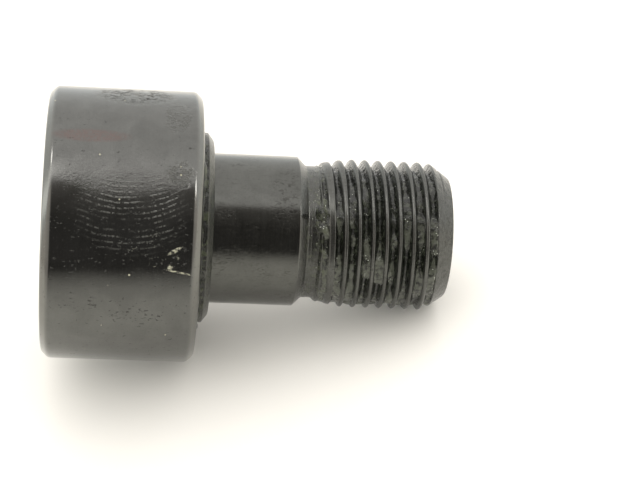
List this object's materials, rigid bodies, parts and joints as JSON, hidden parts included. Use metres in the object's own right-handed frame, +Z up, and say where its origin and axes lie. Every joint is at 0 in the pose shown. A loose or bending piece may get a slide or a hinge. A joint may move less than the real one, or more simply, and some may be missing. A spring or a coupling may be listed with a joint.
{
  "type": "cam follower",
  "caption": "Stud-type cam follower: a black hardened roller turning on needle rollers round a heavy threaded stud with a flanged head and a pressed end plate.",
  "frame": {"origin": "on the stud's axis, in the plane of the end plate's outer face, which seats against the machine", "axes": "+X along the stud towards the thread's end, so the roller is on the -X side; +Z up, with the radial oil hole towards +Z"},
  "size_m": [0.0423, 0.0286, 0.0286],
  "materials": {
    "black_oxide_stud": "oiled black oxide, turned and ground",
    "black_oxide_plate": "oiled black oxide, turned",
    "black_oxide_roller": "oiled black oxide, ground",
    "seal_rubber": "moulded, matt",
    "needle_steel": "bright ground"
  },
  "bodies": {
    "stud_body": {"stud": "black_oxide_stud", "end_plate": "black_oxide_plate"},
    "roller_body": {"outer_ring": "black_oxide_roller", "head_side_seal": "seal_rubber", "stud_side_seal": "seal_rubber"},
    "needle_01": {"needle_01": "needle_steel"},
    "needle_02": {"needle_02": "needle_steel"},
    "needle_03": {"needle_03": "needle_steel"},
    "needle_04": {"needle_04": "needle_steel"},
    "needle_05": {"needle_05": "needle_steel"},
    "needle_06": {"needle_06": "needle_steel"},
    "needle_07": {"needle_07": "needle_steel"},
    "needle_08": {"needle_08": "needle_steel"},
    "needle_09": {"needle_09": "needle_steel"},
    "needle_10": {"needle_10": "needle_steel"},
    "needle_11": {"needle_11": "needle_steel"},
    "needle_12": {"needle_12": "needle_steel"},
    "needle_13": {"needle_13": "needle_steel"},
    "needle_14": {"needle_14": "needle_steel"},
    "needle_15": {"needle_15": "needle_steel"},
    "needle_16": {"needle_16": "needle_steel"},
    "needle_17": {"needle_17": "needle_steel"},
    "needle_18": {"needle_18": "needle_steel"},
    "needle_19": {"needle_19": "needle_steel"},
    "needle_20": {"needle_20": "needle_steel"},
    "needle_21": {"needle_21": "needle_steel"},
    "needle_22": {"needle_22": "needle_steel"},
    "needle_23": {"needle_23": "needle_steel"},
    "needle_24": {"needle_24": "needle_steel"}
  },
  "joints": [
    {"name": "roller_spin", "type": "hinge", "parent": "stud_body", "child": "roller_body", "pos_m": [0, 0, 0], "axis": [1, 0, 0], "continuous": true},
    {"name": "needle_orbit", "type": "hinge", "parent": "stud_body", "child": "needle_01", "pos_m": [0, 0, 0], "axis": [1, 0, 0], "continuous": true},
    {"name": "needle_02_spin", "type": "hinge", "parent": "needle_01", "child": "needle_02", "pos_m": [-0.00919, 0.00939, 0.00252], "axis": [1, 0, 0], "continuous": true},
    {"name": "needle_03_spin", "type": "hinge", "parent": "needle_01", "child": "needle_03", "pos_m": [-0.00919, 0.00842, 0.00486], "axis": [1, 0, 0], "continuous": true},
    {"name": "needle_04_spin", "type": "hinge", "parent": "needle_01", "child": "needle_04", "pos_m": [-0.00919, 0.00687, 0.00687], "axis": [1, 0, 0], "continuous": true},
    {"name": "needle_05_spin", "type": "hinge", "parent": "needle_01", "child": "needle_05", "pos_m": [-0.00919, 0.00486, 0.00842], "axis": [1, 0, 0], "continuous": true},
    {"name": "needle_06_spin", "type": "hinge", "parent": "needle_01", "child": "needle_06", "pos_m": [-0.00919, 0.00252, 0.00939], "axis": [1, 0, 0], "continuous": true},
    {"name": "needle_07_spin", "type": "hinge", "parent": "needle_01", "child": "needle_07", "pos_m": [-0.00919, 0, 0.00972], "axis": [1, 0, 0], "continuous": true},
    {"name": "needle_08_spin", "type": "hinge", "parent": "needle_01", "child": "needle_08", "pos_m": [-0.00919, -0.00252, 0.00939], "axis": [1, 0, 0], "continuous": true},
    {"name": "needle_09_spin", "type": "hinge", "parent": "needle_01", "child": "needle_09", "pos_m": [-0.00919, -0.00486, 0.00842], "axis": [1, 0, 0], "continuous": true},
    {"name": "needle_10_spin", "type": "hinge", "parent": "needle_01", "child": "needle_10", "pos_m": [-0.00919, -0.00687, 0.00687], "axis": [1, 0, 0], "continuous": true},
    {"name": "needle_11_spin", "type": "hinge", "parent": "needle_01", "child": "needle_11", "pos_m": [-0.00919, -0.00842, 0.00486], "axis": [1, 0, 0], "continuous": true},
    {"name": "needle_12_spin", "type": "hinge", "parent": "needle_01", "child": "needle_12", "pos_m": [-0.00919, -0.00939, 0.00252], "axis": [1, 0, 0], "continuous": true},
    {"name": "needle_13_spin", "type": "hinge", "parent": "needle_01", "child": "needle_13", "pos_m": [-0.00919, -0.00972, 0], "axis": [1, 0, 0], "continuous": true},
    {"name": "needle_14_spin", "type": "hinge", "parent": "needle_01", "child": "needle_14", "pos_m": [-0.00919, -0.00939, -0.00252], "axis": [1, 0, 0], "continuous": true},
    {"name": "needle_15_spin", "type": "hinge", "parent": "needle_01", "child": "needle_15", "pos_m": [-0.00919, -0.00842, -0.00486], "axis": [1, 0, 0], "continuous": true},
    {"name": "needle_16_spin", "type": "hinge", "parent": "needle_01", "child": "needle_16", "pos_m": [-0.00919, -0.00687, -0.00687], "axis": [1, 0, 0], "continuous": true},
    {"name": "needle_17_spin", "type": "hinge", "parent": "needle_01", "child": "needle_17", "pos_m": [-0.00919, -0.00486, -0.00842], "axis": [1, 0, 0], "continuous": true},
    {"name": "needle_18_spin", "type": "hinge", "parent": "needle_01", "child": "needle_18", "pos_m": [-0.00919, -0.00252, -0.00939], "axis": [1, 0, 0], "continuous": true},
    {"name": "needle_19_spin", "type": "hinge", "parent": "needle_01", "child": "needle_19", "pos_m": [-0.00919, 0, -0.00972], "axis": [1, 0, 0], "continuous": true},
    {"name": "needle_20_spin", "type": "hinge", "parent": "needle_01", "child": "needle_20", "pos_m": [-0.00919, 0.00252, -0.00939], "axis": [1, 0, 0], "continuous": true},
    {"name": "needle_21_spin", "type": "hinge", "parent": "needle_01", "child": "needle_21", "pos_m": [-0.00919, 0.00486, -0.00842], "axis": [1, 0, 0], "continuous": true},
    {"name": "needle_22_spin", "type": "hinge", "parent": "needle_01", "child": "needle_22", "pos_m": [-0.00919, 0.00687, -0.00687], "axis": [1, 0, 0], "continuous": true},
    {"name": "needle_23_spin", "type": "hinge", "parent": "needle_01", "child": "needle_23", "pos_m": [-0.00919, 0.00842, -0.00486], "axis": [1, 0, 0], "continuous": true},
    {"name": "needle_24_spin", "type": "hinge", "parent": "needle_01", "child": "needle_24", "pos_m": [-0.00919, 0.00939, -0.00252], "axis": [1, 0, 0], "continuous": true}
  ],
  "couplings": [
    {"joint": "needle_orbit", "follows": "roller_spin", "ratio": 0.56428},
    {"joint": "needle_02_spin", "follows": "roller_spin", "ratio": 3.8247},
    {"joint": "needle_03_spin", "follows": "roller_spin", "ratio": 3.8247},
    {"joint": "needle_04_spin", "follows": "roller_spin", "ratio": 3.8247},
    {"joint": "needle_05_spin", "follows": "roller_spin", "ratio": 3.8247},
    {"joint": "needle_06_spin", "follows": "roller_spin", "ratio": 3.8247},
    {"joint": "needle_07_spin", "follows": "roller_spin", "ratio": 3.8247},
    {"joint": "needle_08_spin", "follows": "roller_spin", "ratio": 3.8247},
    {"joint": "needle_09_spin", "follows": "roller_spin", "ratio": 3.8247},
    {"joint": "needle_10_spin", "follows": "roller_spin", "ratio": 3.8247},
    {"joint": "needle_11_spin", "follows": "roller_spin", "ratio": 3.8247},
    {"joint": "needle_12_spin", "follows": "roller_spin", "ratio": 3.8247},
    {"joint": "needle_13_spin", "follows": "roller_spin", "ratio": 3.8247},
    {"joint": "needle_14_spin", "follows": "roller_spin", "ratio": 3.8247},
    {"joint": "needle_15_spin", "follows": "roller_spin", "ratio": 3.8247},
    {"joint": "needle_16_spin", "follows": "roller_spin", "ratio": 3.8247},
    {"joint": "needle_17_spin", "follows": "roller_spin", "ratio": 3.8247},
    {"joint": "needle_18_spin", "follows": "roller_spin", "ratio": 3.8247},
    {"joint": "needle_19_spin", "follows": "roller_spin", "ratio": 3.8247},
    {"joint": "needle_20_spin", "follows": "roller_spin", "ratio": 3.8247},
    {"joint": "needle_21_spin", "follows": "roller_spin", "ratio": 3.8247},
    {"joint": "needle_22_spin", "follows": "roller_spin", "ratio": 3.8247},
    {"joint": "needle_23_spin", "follows": "roller_spin", "ratio": 3.8247},
    {"joint": "needle_24_spin", "follows": "roller_spin", "ratio": 3.8247}
  ]
}
